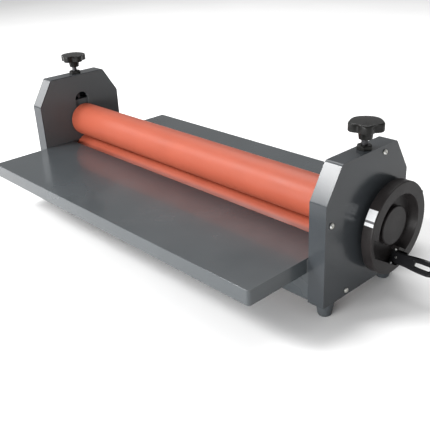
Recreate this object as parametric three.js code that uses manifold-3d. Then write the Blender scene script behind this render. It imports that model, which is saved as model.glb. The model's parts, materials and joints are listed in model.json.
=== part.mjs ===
// Cold roll laminator: a hand-cranked machine that presses film onto prints between two
// silicone-covered rollers. Units are millimetres, +Z is up, +X runs along the rollers towards
// the hand wheel and +Y runs from the front feed table to the rear one. Every sub-part is one
// named mesh; the origin ends up below the middle of the whole machine, on the floor.

import * as THREE from "three";
import { mergeVertices } from "three/addons/utils/BufferGeometryUtils.js";
import Module from "manifold-3d";

const wasm = await Module();
wasm.setup();

// ---------------------------------------------------------------- driving dimensions

const bedWidth = 670; // clear width between the two side housings
const fitGap = 0.3; // left between pieces that touch without moving
const runningGap = 0.15; // radial clearance of a piece that turns or slides in another

const housingWidth = 27;
const housingDepth = 182;
const housingHeight = 199;
const chamferDepth = 30.5; // how far the sloping top corners reach back
const chamferDrop = 48.5; // and how far down
const housingCornerRadius = 6; // rounding of the four upper corners
const coverWall = 1.5;
const plateThickness = 4;

const footHeight = 23;
const footTopRadius = 13;
const footBottomRadius = 10;
const footInset = 21; // foot centre from the housing's front and rear faces
const footEdge = 2.5; // how far the foot's worn lower edge is turned in

const rollerDiameter = 63.4;
const rollerEndGap = 2; // roller face to side plate
const rollerEdge = 1.6; // chamfer of the sleeve's ends
const sleeveThickness = 8;
const sleeveOverhang = 0.4; // how far the sleeve stands past the core
const journalDiameter = 15;
const lowerAxisHeight = 44.2; // above the underside of the housings
const rollerSetback = 95; // roller axes behind the housings' front faces
const nipGap = 0.3;
const rollerLift = 18;

const bearingWidth = 30; // lower bearing and upper block neck, across the machine
const bearingDepth = 10; // length of the lower bearing behind the side plate
const spigotRadius = 11; // lower bearing's spigot in the side plate
const bushWall = 2.5;
const blockDepth = 18; // length of the upper block behind the side plate
const blockFullDrop = 18; // underside of the block below the roller axis, where the gear allows
const neckRise = 18; // top of its neck in the slot above the axis
const blockRise = 39.5; // top of the block behind the side plate above the axis
const blockFlange = 3; // how far the block overlaps the slot on each side
const slotSpare = 4; // slot left over past the block's travel, at each end
const faceRecess = 0.5; // bearing faces behind the side plate's inner face
const springWire = 1.4;
const springMeanDiameter = 7.2;
const springTurns = 6;

const screwDiameter = 9;
const screwSeatDepth = 6; // how deep the pressure screw sits in the block
const screwTipRadius = 3.5;
const screwPassage = 0.6; // radial clearance of the pressure screw in the cover
const nutSize = 20;
const nutHeight = 14;
const collarRadius = 11.2; // over the corners of the hexagon
const collarHeight = 5.5;
const collarChamfer = 1.2;
const knobRadius = 23.2;
const knobLobes = 5;
const knobLobeDepth = 2.3;
const knobHeight = 13.5;
const knobEdge = 2.6; // rounding of the knob's upper and lower edges
const knobSocketShare = 0.6; // part of the knob's height that its screw reaches into
const knobStandoff = 25.5; // underside of the knob's lobes above the housing
const knobHubRadius = 10.5;
const knobHubTaper = 1.5; // how much narrower the hub is at its lower end
const knobHubHeight = 11.7; // hub below the lobes
const rightKnobAngle = THREE.MathUtils.degToRad(-56); // direction of one lobe
const leftKnobAngle = THREE.MathUtils.degToRad(214);

const sheet = 1.5; // thickness of tables and panels
const tableHeight = 68.3; // table surface above the underside of the housings
const frontReach = 112.3; // front edge ahead of the housings
const rearReach = 113; // rear edge behind the housings
const lipHeight = 23;
const tableSideGap = 1.6;
const rearSideGap = 4.4;
const rollerClearance = 14; // table edge to roller, on both sides
const tableCorner = 5;
const panelInset = 0.6; // panel face behind the housing face
const panelRaise = 2.5; // panel underside above the housings' underside
const panelFlange = 16;

const tieDiameter = 16;
const tieHeight = 22; // above the underside of the housings
const tieSpread = 50; // either side of the roller axes
const tieThread = 8;
const tieThreadReach = 9; // thread standing out past the side plate
const tieNutRadius = 7.4;
const tieNutHeight = 6.5;

const gearModule = 2;
const pinionTeeth = 18;
const gearTeeth = 36;
const gearWidth = 8;
const gearBacklash = 0.3;
const gearGap = 0.7; // lower bearing to gear
const flankSteps = 3; // straight pieces that each curved tooth flank is made of
const pressureAngle = THREE.MathUtils.degToRad(20);
const wheelBearing = THREE.MathUtils.degToRad(43.2); // from roller axis up to the wheel shaft
const shaftDiameter = 12;
const shaftBushRadius = 9;
const shaftBushFlange = 2.5; // how far the flange stands out
const shaftBushFlangeDepth = 1.9;
const innerBushDepth = 6; // inner bush behind the side plate

const wheelRadius = 66.4;
const wheelThickness = 17;
const wheelEdge = 1.8; // rounding of the rim's edges
const wheelGap = 7; // between housing and wheel
const wheelTurn = THREE.MathUtils.degToRad(32); // rest position, from the lobe pointing down
const rimInnerRadius = 49;
const rimTaper = 4; // how much narrower the recess is at its floor
const webThickness = 3.5;
const hubRadius = 28;
const hubHeight = 6.7; // from the wheel's back plane
const hubCapRadius = 29;
const hubCapHeight = 10; // front of the cap, from the wheel's back plane
const hubCapThickness = 3;
const hubCapRing = 1; // wall of the ring that snaps into the screw's seat
const bossRadius = 15;
const bossGap = 1; // between the outer shaft bush and the wheel's boss
const lobeRise = 3.6; // the rim swells by this much around the handle pocket
const lobeFlat = THREE.MathUtils.degToRad(12); // half angle of its full height
const lobeFade = THREE.MathUtils.degToRad(44); // half angle where it has faded out

const hubScrewShank = 2.5;
const hubScrewHead = 5.8;
const hubScrewHeadHeight = 2.4;
const hubSeatRadius = 7.5;
const hubScrewReach = 9; // into the shaft
const hubSeatHeight = 1.5; // seat of the screw head, from the wheel's back plane

const pocketRadius = 61; // the handle pocket stops short of the rim's outer edge
const pocketTop = 29.4; // its edges below the wheel axis
const pocketBottom = 52;
const pinRib = 4; // rib that carries the pin's upper end
const pinRibStart = 24; // from the wheel axis, on the hinge side
const handleHingeOffset = 30; // hinge pin beside the wheel axis
const handleHingeHeight = 8.6; // hinge pin from the wheel's back plane
const handleThickness = 8;
const handleEdge = 2.2; // chamfer of the handle's edges
const handleRootWidth = 17.4;
const handleLoopWidth = 21.8;
const handleBar = 8;
const handleSolidLength = 33; // from the pin to the start of the slot
const handleGrowStart = 16; // where it starts to widen towards the loop
const handleGrowEnd = 46;
const handleTipGap = 1;
const handleBarrelRadius = 4;
const handleBarrelHalf = 9; // half of its length along the pin
const handlePinRadius = 1.8;
const handlePinReach = 4.2; // into the rim below the pocket

const coverScrewRadius = 4;
const coverScrewShank = 1.9;
const coverScrewReach = 8;
const pillarRadius = 4.5;

// places of the cover screws: behind the housing's front face, above its underside
const coverScrewPlaces = [
  [123, 189.5],
  [11.6, 121],
  [49, 8.5],
  [168, 60],
];

// ---------------------------------------------------------------- derived places

const halfBed = bedWidth / 2;
const axisY = rollerSetback;
const lowerZ = footHeight + lowerAxisHeight;
const upperZ = lowerZ + rollerDiameter + nipGap;
const housingTop = footHeight + housingHeight;
const tableTop = footHeight + tableHeight;
const behindPlate = plateThickness + fitGap; // first free place behind the side plate
const gearStart = behindPlate + bearingDepth + gearGap;
const gearEnd = gearStart + gearWidth;
const interiorDepth = housingWidth - coverWall;
const shaftDistance = (gearModule * (pinionTeeth + gearTeeth)) / 2;
const shaftY = axisY + shaftDistance * Math.cos(wheelBearing);
const shaftZ = lowerZ + shaftDistance * Math.sin(wheelBearing);
const gearTipRadius = gearModule * (gearTeeth / 2 + 1);
const blockDrop = Math.min(blockFullDrop, upperZ - lowerZ - gearTipRadius - runningGap);
const blockTop = upperZ + blockRise;
const slotHalf = bearingWidth / 2 + runningGap;
const slotBottom = upperZ - blockDrop - slotSpare / 2;
const slotTop = upperZ + neckRise + rollerLift + slotSpare + slotHalf;
const boreRadius = journalDiameter / 2 + runningGap;
const upperBushRadius = boreRadius + bushWall;
const rollerLength = bedWidth - 2 * rollerEndGap;
const coreRadius = rollerDiameter / 2 - sleeveThickness;
const screwX = housingWidth / 2; // pressure screw, from the housing's inner face
const springX = behindPlate + bearingDepth / 2;
const nutTop = housingTop - coverWall - fitGap;
const tableReach = Math.sqrt(
  Math.max(0, (rollerDiameter / 2) ** 2 - (tableTop - lowerZ) ** 2),
); // roller half width at the height of the table
const frontTableEnd = axisY - tableReach - rollerClearance;
const rearTableStart = axisY + tableReach + rollerClearance;
const outerBushEnd = housingWidth + fitGap + shaftBushFlangeDepth;
const wheelBack = halfBed + housingWidth + wheelGap;
const pocketMiddle = (pocketTop + pocketBottom) / 2;
const handleTipCentre = Math.sqrt(
  Math.max(0, (pocketRadius - handleTipGap - handleLoopWidth / 2) ** 2 - pocketMiddle ** 2),
); // centre of the folded handle's round tip beside the wheel axis
const handleLength = handleHingeOffset + handleTipCentre + handleLoopWidth / 2;

const roundSegments = 32;
const mediumSegments = 24;
const smallSegments = 16;
const fineSegments = 48;
const pillarSegments = 12;

// ---------------------------------------------------------------- materials

const material = (color, roughness, metalness) =>
  new THREE.MeshStandardMaterial({ color, roughness, metalness });
const greyPaint = material(0x55595c, 0.28, 0.1);
const darkPaint = material(0x3c3b3c, 0.2, 0.1);
const silicone = material(0xe8826a, 0.45, 0);
const steel = material(0xb4b6b8, 0.35, 0.9);
const blackSteel = material(0x2c2c2e, 0.35, 0.8);
const zinc = material(0xc9cbcc, 0.3, 0.9);
const bronze = material(0xa9854c, 0.45, 0.8);
const blackPlastic = material(0x2b2b29, 0.35, 0);
const rubber = material(0x33373a, 0.8, 0);
const springSteel = material(0x8d9092, 0.35, 0.9);

// ---------------------------------------------------------------- solid helpers

// A closed three.js geometry as a solid that can be joined and cut.
function solidOf(geometry) {
  const bare = geometry.index ? geometry.toNonIndexed() : geometry.clone();
  bare.deleteAttribute("normal");
  bare.deleteAttribute("uv");
  const merged = mergeVertices(bare, 1e-3);
  return new wasm.Manifold(
    new wasm.Mesh({
      numProp: 3,
      vertProperties: merged.attributes.position.array,
      triVerts: new Uint32Array(merged.index.array),
    }),
  );
}

function geometryOf(solid) {
  const mesh = solid.getMesh();
  const corners = [];
  for (const v of mesh.triVerts) {
    const at = v * mesh.numProp;
    corners.push(...mesh.vertProperties.slice(at, at + 3));
  }
  const geometry = new THREE.BufferGeometry();
  geometry.setAttribute("position", new THREE.Float32BufferAttribute(corners, 3));
  geometry.computeVertexNormals();
  return geometry;
}

function join(first, ...others) {
  let solid = solidOf(first);
  for (const other of others) solid = solid.add(solidOf(other));
  return geometryOf(solid);
}

function cut(body, ...tools) {
  let solid = solidOf(body);
  for (const tool of tools) solid = solid.subtract(solidOf(tool));
  return geometryOf(solid);
}

function common(first, second) {
  return geometryOf(solidOf(first).intersect(solidOf(second)));
}

const alongX = new THREE.Matrix4().makeBasis(
  new THREE.Vector3(0, 1, 0),
  new THREE.Vector3(0, 0, 1),
  new THREE.Vector3(1, 0, 0),
);

// A shape drawn in (y, z), extruded from x0 to x1.
function extrudeX(shape, x0, x1, options = {}) {
  const geometry = new THREE.ExtrudeGeometry(shape, {
    depth: x1 - x0,
    bevelEnabled: false,
    curveSegments: 12,
    ...options,
  });
  return geometry.applyMatrix4(alongX).translate(x0, 0, 0);
}

function box(x0, x1, y0, y1, z0, z1) {
  const geometry = new THREE.BoxGeometry(x1 - x0, y1 - y0, z1 - z0);
  return geometry.translate((x0 + x1) / 2, (y0 + y1) / 2, (z0 + z1) / 2);
}

// A turned profile of [radius, height] pairs, listed in either direction, about +Y.
function lathe(profile, segments) {
  const area = profile.reduce((sum, [r, h], i) => {
    const [r2, h2] = profile[(i + 1) % profile.length];
    return sum + r * h2 - r2 * h;
  }, 0);
  const ordered = area > 0 ? profile : [...profile].reverse();
  const points = ordered.map(([r, h]) => new THREE.Vector2(r, h));
  const onAxis = ordered[0][0] === 0 && ordered[ordered.length - 1][0] === 0;
  if (!onAxis) points.push(points[0].clone());
  return new THREE.LatheGeometry(points, segments);
}

const turnedX = (profile, y, z, segments = roundSegments) =>
  lathe(profile, segments).rotateZ(-Math.PI / 2).translate(0, y, z);
const turnedZ = (profile, x, y, segments = roundSegments) =>
  lathe(profile, segments).rotateX(Math.PI / 2).translate(x, y, 0);

// A plain rod profile with chamfered ends.
const rod = (radius, start, end, chamfer = 0.5) => [
  [0, start],
  [radius - chamfer, start],
  [radius, start + chamfer],
  [radius, end - chamfer],
  [radius - chamfer, end],
  [0, end],
];
const plug = (radius, start, end) => [
  [0, start],
  [radius, start],
  [radius, end],
  [0, end],
];

function polygon(points) {
  return new THREE.Shape(points.map(([u, v]) => new THREE.Vector2(u, v)));
}

function rectangle(u0, u1, v0, v1) {
  return polygon([
    [u0, v0],
    [u1, v0],
    [u1, v1],
    [u0, v1],
  ]);
}

function regular(sides, radius, cu, cv) {
  const corners = [];
  for (let i = 0; i < sides; i++) {
    const a = (i * 2 * Math.PI) / sides;
    corners.push([cu + radius * Math.cos(a), cv + radius * Math.sin(a)]);
  }
  return polygon(corners);
}

function part(name, geometry, finish) {
  const mesh = new THREE.Mesh(geometry, finish);
  mesh.name = name;
  return mesh;
}

// ---------------------------------------------------------------- side housings

// The housing's side outline in (y, z), moved inwards by an even distance, with round top corners.
function housingOutline(inset) {
  const corners = [
    [0, footHeight],
    [housingDepth, footHeight],
    [housingDepth, housingTop - chamferDrop],
    [housingDepth - chamferDepth, housingTop],
    [chamferDepth, housingTop],
    [0, housingTop - chamferDrop],
  ].map(([y, z]) => new THREE.Vector2(y, z));
  const count = corners.length;
  return corners.flatMap((corner, i) => {
    const before = corner.clone().sub(corners[(i + count - 1) % count]).normalize();
    const after = corners[(i + 1) % count].clone().sub(corner).normalize();
    const isRound = corner.y > footHeight;
    const radius = isRound ? housingCornerRadius : inset;
    const toCentre = radius / (1 + before.dot(after));
    const centre = new THREE.Vector2(
      corner.x - toCentre * (before.y + after.y),
      corner.y + toCentre * (before.x + after.x),
    );
    const start = Math.atan2(-before.x, before.y);
    const turn = Math.atan2(before.cross(after), before.dot(after));
    if (!isRound) return [[centre.x, centre.y]];
    return [0, 1, 2, 3].map((step) => {
      const a = start + (turn * step) / 3;
      const r = radius - inset;
      return [centre.x + r * Math.cos(a), centre.y + r * Math.sin(a)];
    });
  });
}

// Blind-tapped pillars that carry the cover, one behind each cover screw.
function pillar([y, z]) {
  const end = interiorDepth - fitGap;
  return turnedX(
    [
      [0, plateThickness / 2],
      [pillarRadius, plateThickness / 2],
      [pillarRadius, end],
      [coverScrewShank + runningGap, end],
      [coverScrewShank + runningGap, end - coverScrewReach],
      [0, end - coverScrewReach],
    ],
    y,
    z + footHeight,
    pillarSegments,
  ).translate(halfBed, 0, 0);
}

function blockSlot() {
  const slot = new THREE.Shape();
  const archZ = slotTop - slotHalf;
  slot.moveTo(axisY - slotHalf, slotBottom);
  slot.lineTo(axisY + slotHalf, slotBottom);
  slot.lineTo(axisY + slotHalf, archZ);
  slot.absarc(axisY, archZ, slotHalf, 0, Math.PI, false);
  slot.closePath();
  return extrudeX(slot, halfBed - 1, halfBed + plateThickness + 1);
}

const throughPlate = (radius, y, z, segments) =>
  turnedX(plug(radius, halfBed - 1, halfBed + plateThickness + 1), y, z, segments);

function sidePlate() {
  const outline = polygon(housingOutline(coverWall + fitGap));
  const blank = join(
    extrudeX(outline, halfBed, halfBed + plateThickness),
    ...coverScrewPlaces.map(pillar),
  );
  const ties = [-tieSpread, tieSpread].map((offset) =>
    throughPlate(tieThread / 2 + fitGap, axisY + offset, footHeight + tieHeight, smallSegments),
  );
  return cut(
    blank,
    blockSlot(),
    throughPlate(spigotRadius + fitGap / 2, axisY, lowerZ, roundSegments),
    throughPlate(shaftBushRadius + fitGap / 2, shaftY, shaftZ, smallSegments),
    ...ties,
  );
}

// The sheet-metal cover: a tray that wraps the side plate. The hand-wheel side has one more hole.
function sideCover(hasWheel) {
  const start = halfBed;
  const end = halfBed + housingWidth;
  const screwHoles = coverScrewPlaces.map(([y, z]) =>
    turnedX(
      plug(coverScrewShank + fitGap, end - coverWall - 1, end + 1),
      y,
      z + footHeight,
      smallSegments,
    ),
  );
  const passage = turnedZ(
    plug(screwDiameter / 2 + screwPassage, housingTop - coverWall - 1, housingTop + 1),
    halfBed + screwX,
    axisY,
    smallSegments,
  );
  const hollow = extrudeX(polygon(housingOutline(coverWall)), start - 1, end - coverWall);
  const tools = [hollow, passage, ...screwHoles];
  if (hasWheel) {
    const radius = shaftBushRadius + fitGap / 2;
    tools.push(turnedX(plug(radius, end - coverWall - 1, end + 1), shaftY, shaftZ, smallSegments));
  }
  return cut(extrudeX(polygon(housingOutline(0)), start, end), ...tools);
}

function coverScrew([y, z]) {
  const face = halfBed + housingWidth + fitGap / 3;
  const head = coverScrewRadius;
  return turnedX(
    [
      [0, face - coverScrewReach],
      [coverScrewShank, face - coverScrewReach],
      [coverScrewShank, face],
      [head, face],
      [head, face + 0.8],
      [head * 0.6, face + 2.1],
      [0, face + 2.5],
    ],
    y,
    z + footHeight,
    smallSegments,
  );
}

function foot(y) {
  const top = footHeight - fitGap;
  return turnedZ(
    [
      [0, 0],
      [footBottomRadius - footEdge, 0],
      [footBottomRadius - 0.8, 0.7],
      [footBottomRadius, 2.4],
      [footTopRadius, top - 3],
      [footTopRadius, top],
      [0, top],
    ],
    halfBed + housingWidth / 2,
    y,
    mediumSegments,
  );
}

// ---------------------------------------------------------------- bearings

const boreX = (radius, y, z) =>
  turnedX(plug(radius, halfBed - 5, halfBed + housingWidth), y, z);

function lowerBearing() {
  const half = bearingWidth / 2;
  const flange = extrudeX(
    rectangle(axisY - half, axisY + half, lowerZ - half, lowerZ + half),
    halfBed + behindPlate,
    halfBed + behindPlate + bearingDepth,
  );
  const spigot = turnedX(
    plug(spigotRadius, halfBed + faceRecess, halfBed + behindPlate + 1),
    axisY,
    lowerZ,
  );
  return cut(join(flange, spigot), boreX(boreRadius, axisY, lowerZ));
}

// The block that carries one end of the upper roller. Its neck slides in the plate's slot, and
// its head rises behind the plate to meet the pressure screw.
function bearingBlock() {
  const half = bearingWidth / 2;
  const low = upperZ - blockDrop;
  const neck = extrudeX(
    rectangle(axisY - half, axisY + half, low, upperZ + neckRise),
    halfBed + faceRecess,
    halfBed + behindPlate + 1,
  );
  const head = extrudeX(
    rectangle(axisY - half - blockFlange, axisY + half + blockFlange, low, blockTop),
    halfBed + behindPlate,
    halfBed + behindPlate + blockDepth,
  );
  const seat = turnedZ(
    plug(screwTipRadius + 2 * runningGap, blockTop - screwSeatDepth, blockTop + 1),
    halfBed + screwX,
    axisY,
    smallSegments,
  );
  return cut(join(neck, head), boreX(upperBushRadius + fitGap / 2, axisY, upperZ), seat);
}

function upperBush() {
  const start = halfBed + faceRecess + 0.1;
  const end = halfBed + behindPlate + blockDepth - 0.1;
  return turnedX(
    [
      [boreRadius, start],
      [upperBushRadius, start],
      [upperBushRadius, end],
      [boreRadius, end],
    ],
    axisY,
    upperZ,
  );
}

class SpringCurve extends THREE.Curve {
  constructor(bottom, top) {
    super();
    this.bottom = bottom;
    this.top = top;
  }

  getPoint(t, target = new THREE.Vector3()) {
    const angle = 2 * Math.PI * springTurns * t;
    const radius = springMeanDiameter / 2;
    return target.set(
      radius * Math.cos(angle),
      radius * Math.sin(angle),
      this.bottom + (this.top - this.bottom) * t,
    );
  }
}

// Lifts the upper bearing block off the lower bearing as the pressure screw is backed off.
function liftSpring() {
  const bottom = lowerZ + bearingWidth / 2 + springWire / 2 + fitGap;
  const top = upperZ - blockDrop - springWire / 2 - fitGap;
  const section = regular(5, springWire / 2, 0, 0);
  const geometry = new THREE.ExtrudeGeometry(section, {
    steps: springTurns * 8,
    bevelEnabled: false,
    extrudePath: new SpringCurve(bottom, top),
  });
  return geometry.translate(halfBed + springX, axisY, 0);
}

// ---------------------------------------------------------------- pressure screws and knobs

function pressureScrew() {
  const radius = screwDiameter / 2;
  const end = housingTop + knobStandoff + knobHeight * knobSocketShare;
  return turnedZ(
    [
      [0, blockTop - screwSeatDepth + fitGap],
      [screwTipRadius, blockTop - screwSeatDepth + fitGap],
      [screwTipRadius, blockTop + fitGap],
      [radius, blockTop + fitGap],
      [radius, end - 1],
      [radius - 1, end],
      [0, end],
    ],
    halfBed + screwX,
    axisY,
    smallSegments,
  );
}

// The threaded nut below the housing's top, which the pressure screw turns in.
function screwNut() {
  const half = nutSize / 2;
  const x = halfBed + screwX;
  const body = box(
    x - half + 0.6,
    x + half - 0.6,
    axisY - half,
    axisY + half,
    nutTop - nutHeight,
    nutTop,
  );
  const hole = turnedZ(
    plug(screwDiameter / 2 + runningGap, nutTop - nutHeight - 1, nutTop + 1),
    x,
    axisY,
    smallSegments,
  );
  return cut(body, hole);
}

// A hexagonal guide nut around the pressure screw, on top of the cover.
function screwCollar() {
  const low = housingTop + fitGap;
  const high = low + collarHeight;
  const x = halfBed + screwX;
  const hexagon = new THREE.ExtrudeGeometry(regular(6, collarRadius, x, axisY), {
    depth: collarHeight,
    bevelEnabled: false,
  }).translate(0, 0, low);
  const rounding = turnedZ(
    [
      [0, low - 1],
      [collarRadius + 1, low - 1],
      [collarRadius + 1, high - collarChamfer - 0.6],
      [collarRadius - 2 * collarChamfer, high],
      [0, high],
    ],
    x,
    axisY,
    mediumSegments,
  );
  const hole = turnedZ(
    plug(screwDiameter / 2 + runningGap, low - 1, high + 1),
    x,
    axisY,
    smallSegments,
  );
  return cut(common(hexagon, rounding), hole);
}

// A star knob: a rounded outline of equal lobes, one lobe turned to the given angle.
function knob(lobeAngle) {
  const mean = knobRadius - knobLobeDepth - knobEdge;
  const outline = [];
  const steps = knobLobes * 10;
  for (let i = 0; i < steps; i++) {
    const a = (2 * Math.PI * i) / steps;
    const r = mean + knobLobeDepth * Math.cos(knobLobes * a);
    outline.push([r * Math.cos(a), r * Math.sin(a)]);
  }
  const geometry = new THREE.ExtrudeGeometry(polygon(outline), {
    depth: knobHeight - 2 * knobEdge,
    bevelEnabled: true,
    bevelThickness: knobEdge,
    bevelSize: knobEdge,
    bevelSegments: 2,
  });
  const x = halfBed + screwX;
  const bottom = housingTop + knobStandoff;
  const body = geometry
    .rotateZ(lobeAngle)
    .translate(x, axisY, bottom + knobEdge);
  const hub = turnedZ(
    [
      [0, bottom - knobHubHeight],
      [knobHubRadius - knobHubTaper, bottom - knobHubHeight],
      [knobHubRadius, bottom + knobEdge],
      [0, bottom + knobEdge],
    ],
    x,
    axisY,
    mediumSegments,
  );
  const socket = turnedZ(
    plug(
      screwDiameter / 2 + fitGap / 2,
      bottom - knobHubHeight - 1,
      bottom + knobHeight * knobSocketShare + fitGap,
    ),
    x,
    axisY,
    smallSegments,
  );
  return cut(join(body, hub), socket);
}

// ---------------------------------------------------------------- rollers

function rollerSleeve(z) {
  const half = rollerLength / 2;
  const outer = rollerDiameter / 2;
  const inner = coreRadius + fitGap;
  return turnedX(
    [
      [inner, -half],
      [outer - rollerEdge, -half],
      [outer, -half + rollerEdge],
      [outer, half - rollerEdge],
      [outer - rollerEdge, half],
      [inner, half],
    ],
    axisY,
    z,
    fineSegments,
  );
}

// Steel core with a journal on each end; the lower one is longer on the gear side.
function rollerCore(z, leftReach, rightReach) {
  const journal = journalDiameter / 2;
  const shoulder = rollerLength / 2 - sleeveOverhang;
  return turnedX(
    [
      [0, -halfBed - leftReach],
      [journal, -halfBed - leftReach],
      [journal, -shoulder],
      [coreRadius, -shoulder],
      [coreRadius, shoulder],
      [journal, shoulder],
      [journal, halfBed + rightReach],
      [0, halfBed + rightReach],
    ],
    axisY,
    z,
  );
}

// ---------------------------------------------------------------- gear train

const involute = (angle) => Math.tan(angle) - angle;

// The outline of a spur gear with one tooth centred on the given angle.
function gearOutline(teeth, toothAngle) {
  const pitch = (gearModule * teeth) / 2;
  const base = pitch * Math.cos(pressureAngle);
  const root = pitch - 1.25 * gearModule;
  const tip = pitch + gearModule;
  const halfAtPitch = Math.PI / (2 * teeth) - gearBacklash / (4 * pitch);
  const halfAtBase = halfAtPitch + involute(pressureAngle);
  const flank = [];
  const start = Math.max(base, root);
  if (root < base) flank.push([root, halfAtBase]);
  for (let i = 0; i <= flankSteps; i++) {
    const r = start + ((tip - start) * i) / flankSteps;
    flank.push([r, halfAtBase - involute(Math.acos(Math.min(1, base / r)))]);
  }
  const points = [];
  for (let t = 0; t < teeth; t++) {
    const centre = toothAngle + (2 * Math.PI * t) / teeth;
    for (const [r, half] of flank) points.push([r, centre - half]);
    for (const [r, half] of [...flank].reverse()) points.push([r, centre + half]);
  }
  return points.map(([r, a]) => [r * Math.cos(a), r * Math.sin(a)]);
}

function gear(teeth, toothAngle, y, z, boreAt) {
  const start = halfBed + gearStart;
  const blank = extrudeX(
    polygon(gearOutline(teeth, toothAngle)),
    start,
    halfBed + gearEnd,
  ).translate(0, y, z);
  return cut(blank, turnedX(plug(boreAt, start - 1, halfBed + gearEnd + 1), y, z));
}

const driveGear = () =>
  gear(gearTeeth, wheelBearing, axisY, lowerZ, journalDiameter / 2 + fitGap / 2);

const drivePinion = () =>
  gear(
    pinionTeeth,
    wheelBearing + Math.PI + Math.PI / pinionTeeth,
    shaftY,
    shaftZ,
    shaftDiameter / 2 + fitGap / 2,
  );

// A flanged bush on the wheel shaft; the flange lies on the given side of the sheet it sits in.
function shaftBush(start, end, flangeStart, flangeEnd) {
  const inner = shaftDiameter / 2 + runningGap;
  const flange = shaftBushRadius + shaftBushFlange;
  return turnedX(
    [
      [inner, start],
      [shaftBushRadius, start],
      [shaftBushRadius, flangeStart],
      [flange, flangeStart],
      [flange, flangeEnd],
      [shaftBushRadius, flangeEnd],
      [shaftBushRadius, end],
      [inner, end],
    ],
    shaftY,
    shaftZ,
    smallSegments,
  ).translate(halfBed, 0, 0);
}

// The wheel shaft is tapped at its outer end for the hub screw.
function wheelShaft() {
  const radius = shaftDiameter / 2;
  const start = halfBed + faceRecess + 0.1;
  const end = wheelBack - fitGap;
  const tapped = hubScrewShank + runningGap;
  return turnedX(
    [
      [0, start],
      [radius, start],
      [radius, end],
      [tapped, end],
      [tapped, end - hubScrewReach - 1],
      [0, end - hubScrewReach - 1],
    ],
    shaftY,
    shaftZ,
    smallSegments,
  );
}

// ---------------------------------------------------------------- hand wheel and crank handle

// These pieces are drawn about the wheel's own axis, with x from the wheel's back plane and the
// rim's lobe pointing down; the assembly turns them all to the wheel's rest position.

function wheelOutline() {
  const points = [];
  const steps = 60;
  for (let i = 0; i < steps; i++) {
    const a = (2 * Math.PI * i) / steps;
    const fromLobe = Math.abs(((a + 1.5 * Math.PI) % (2 * Math.PI)) - Math.PI);
    const swell = 1 - THREE.MathUtils.smoothstep(fromLobe, lobeFlat, lobeFade);
    const r = wheelRadius + lobeRise * swell - wheelEdge;
    points.push([r * Math.cos(a), r * Math.sin(a)]);
  }
  return polygon(points);
}

// The pocket that the folded handle lies in, below the hub.
function handlePocket() {
  const start = webThickness;
  const end = wheelThickness + 1;
  return common(
    box(start, end, -wheelRadius, wheelRadius, -pocketBottom, -pocketTop),
    turnedX(plug(pocketRadius, start - 1, end), 0, 0, fineSegments),
  );
}

const uprightPin = (radius, low, high) =>
  new THREE.CylinderGeometry(radius, radius, high - low, smallSegments)
    .rotateX(Math.PI / 2)
    .translate(handleHingeHeight, handleHingeOffset, (low + high) / 2);

function handWheel() {
  const blank = extrudeX(wheelOutline(), 0, wheelThickness - 2 * wheelEdge, {
    bevelEnabled: true,
    bevelThickness: wheelEdge,
    bevelSize: wheelEdge,
    bevelSegments: 2,
  }).translate(wheelEdge, 0, 0);
  const boss = turnedX(
    plug(bossRadius, outerBushEnd + bossGap - housingWidth - wheelGap, 1),
    0,
    0,
    smallSegments,
  );
  const front = wheelThickness + 1;
  const trough = turnedX(
    [
      [hubRadius, webThickness],
      [rimInnerRadius - rimTaper, webThickness],
      [rimInnerRadius, front],
      [hubRadius, front],
    ],
    0,
    0,
    fineSegments,
  );
  const aboveHub = turnedX(plug(hubRadius + 1, hubHeight, front), 0, 0, fineSegments);
  const rib = box(
    webThickness - 1,
    wheelThickness - 0.6,
    pinRibStart,
    rimInnerRadius - rimTaper,
    -pocketTop,
    -pocketTop + pinRib,
  );
  const shaftBore = turnedX(
    plug(shaftDiameter / 2 + fitGap / 2, -wheelGap, 0),
    0,
    0,
    smallSegments,
  );
  const screwHole = turnedX(plug(hubScrewShank + fitGap, -1, hubHeight), 0, 0, smallSegments);
  const seat = turnedX(
    plug(hubSeatRadius, hubSeatHeight, hubHeight + 1),
    0,
    0,
    smallSegments,
  );
  const pinHole = uprightPin(
    handlePinRadius + fitGap / 2,
    -pocketBottom - handlePinReach - fitGap,
    -pocketTop + pinRib + 1,
  );
  const dished = cut(join(blank, boss), trough, aboveHub);
  return cut(join(dished, rib), handlePocket(), shaftBore, screwHole, seat, pinHole);
}

const hubScrew = () =>
  turnedX(
    [
      [0, -hubScrewReach],
      [hubScrewShank, -hubScrewReach],
      [hubScrewShank, hubSeatHeight + fitGap],
      [hubScrewHead, hubSeatHeight + fitGap],
      [hubScrewHead, hubSeatHeight + fitGap + hubScrewHeadHeight - 0.8],
      [hubScrewHead - 1, hubSeatHeight + fitGap + hubScrewHeadHeight],
      [0, hubSeatHeight + fitGap + hubScrewHeadHeight],
    ],
    0,
    0,
    smallSegments,
  );

// A plain cap over the hub, with a ring that snaps into the screw's seat.
const hubCap = () =>
  turnedX(
    [
      [0, hubCapHeight - hubCapThickness],
      [hubSeatRadius - fitGap - hubCapRing, hubCapHeight - hubCapThickness],
      [hubSeatRadius - fitGap - hubCapRing, hubSeatHeight + fitGap],
      [hubSeatRadius - fitGap, hubSeatHeight + fitGap],
      [hubSeatRadius - fitGap, hubCapHeight - hubCapThickness],
      [hubCapRadius, hubCapHeight - hubCapThickness],
      [hubCapRadius, hubCapHeight - 1],
      [hubCapRadius - 1, hubCapHeight],
      [0, hubCapHeight],
    ],
    0,
    0,
    fineSegments,
  );

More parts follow.
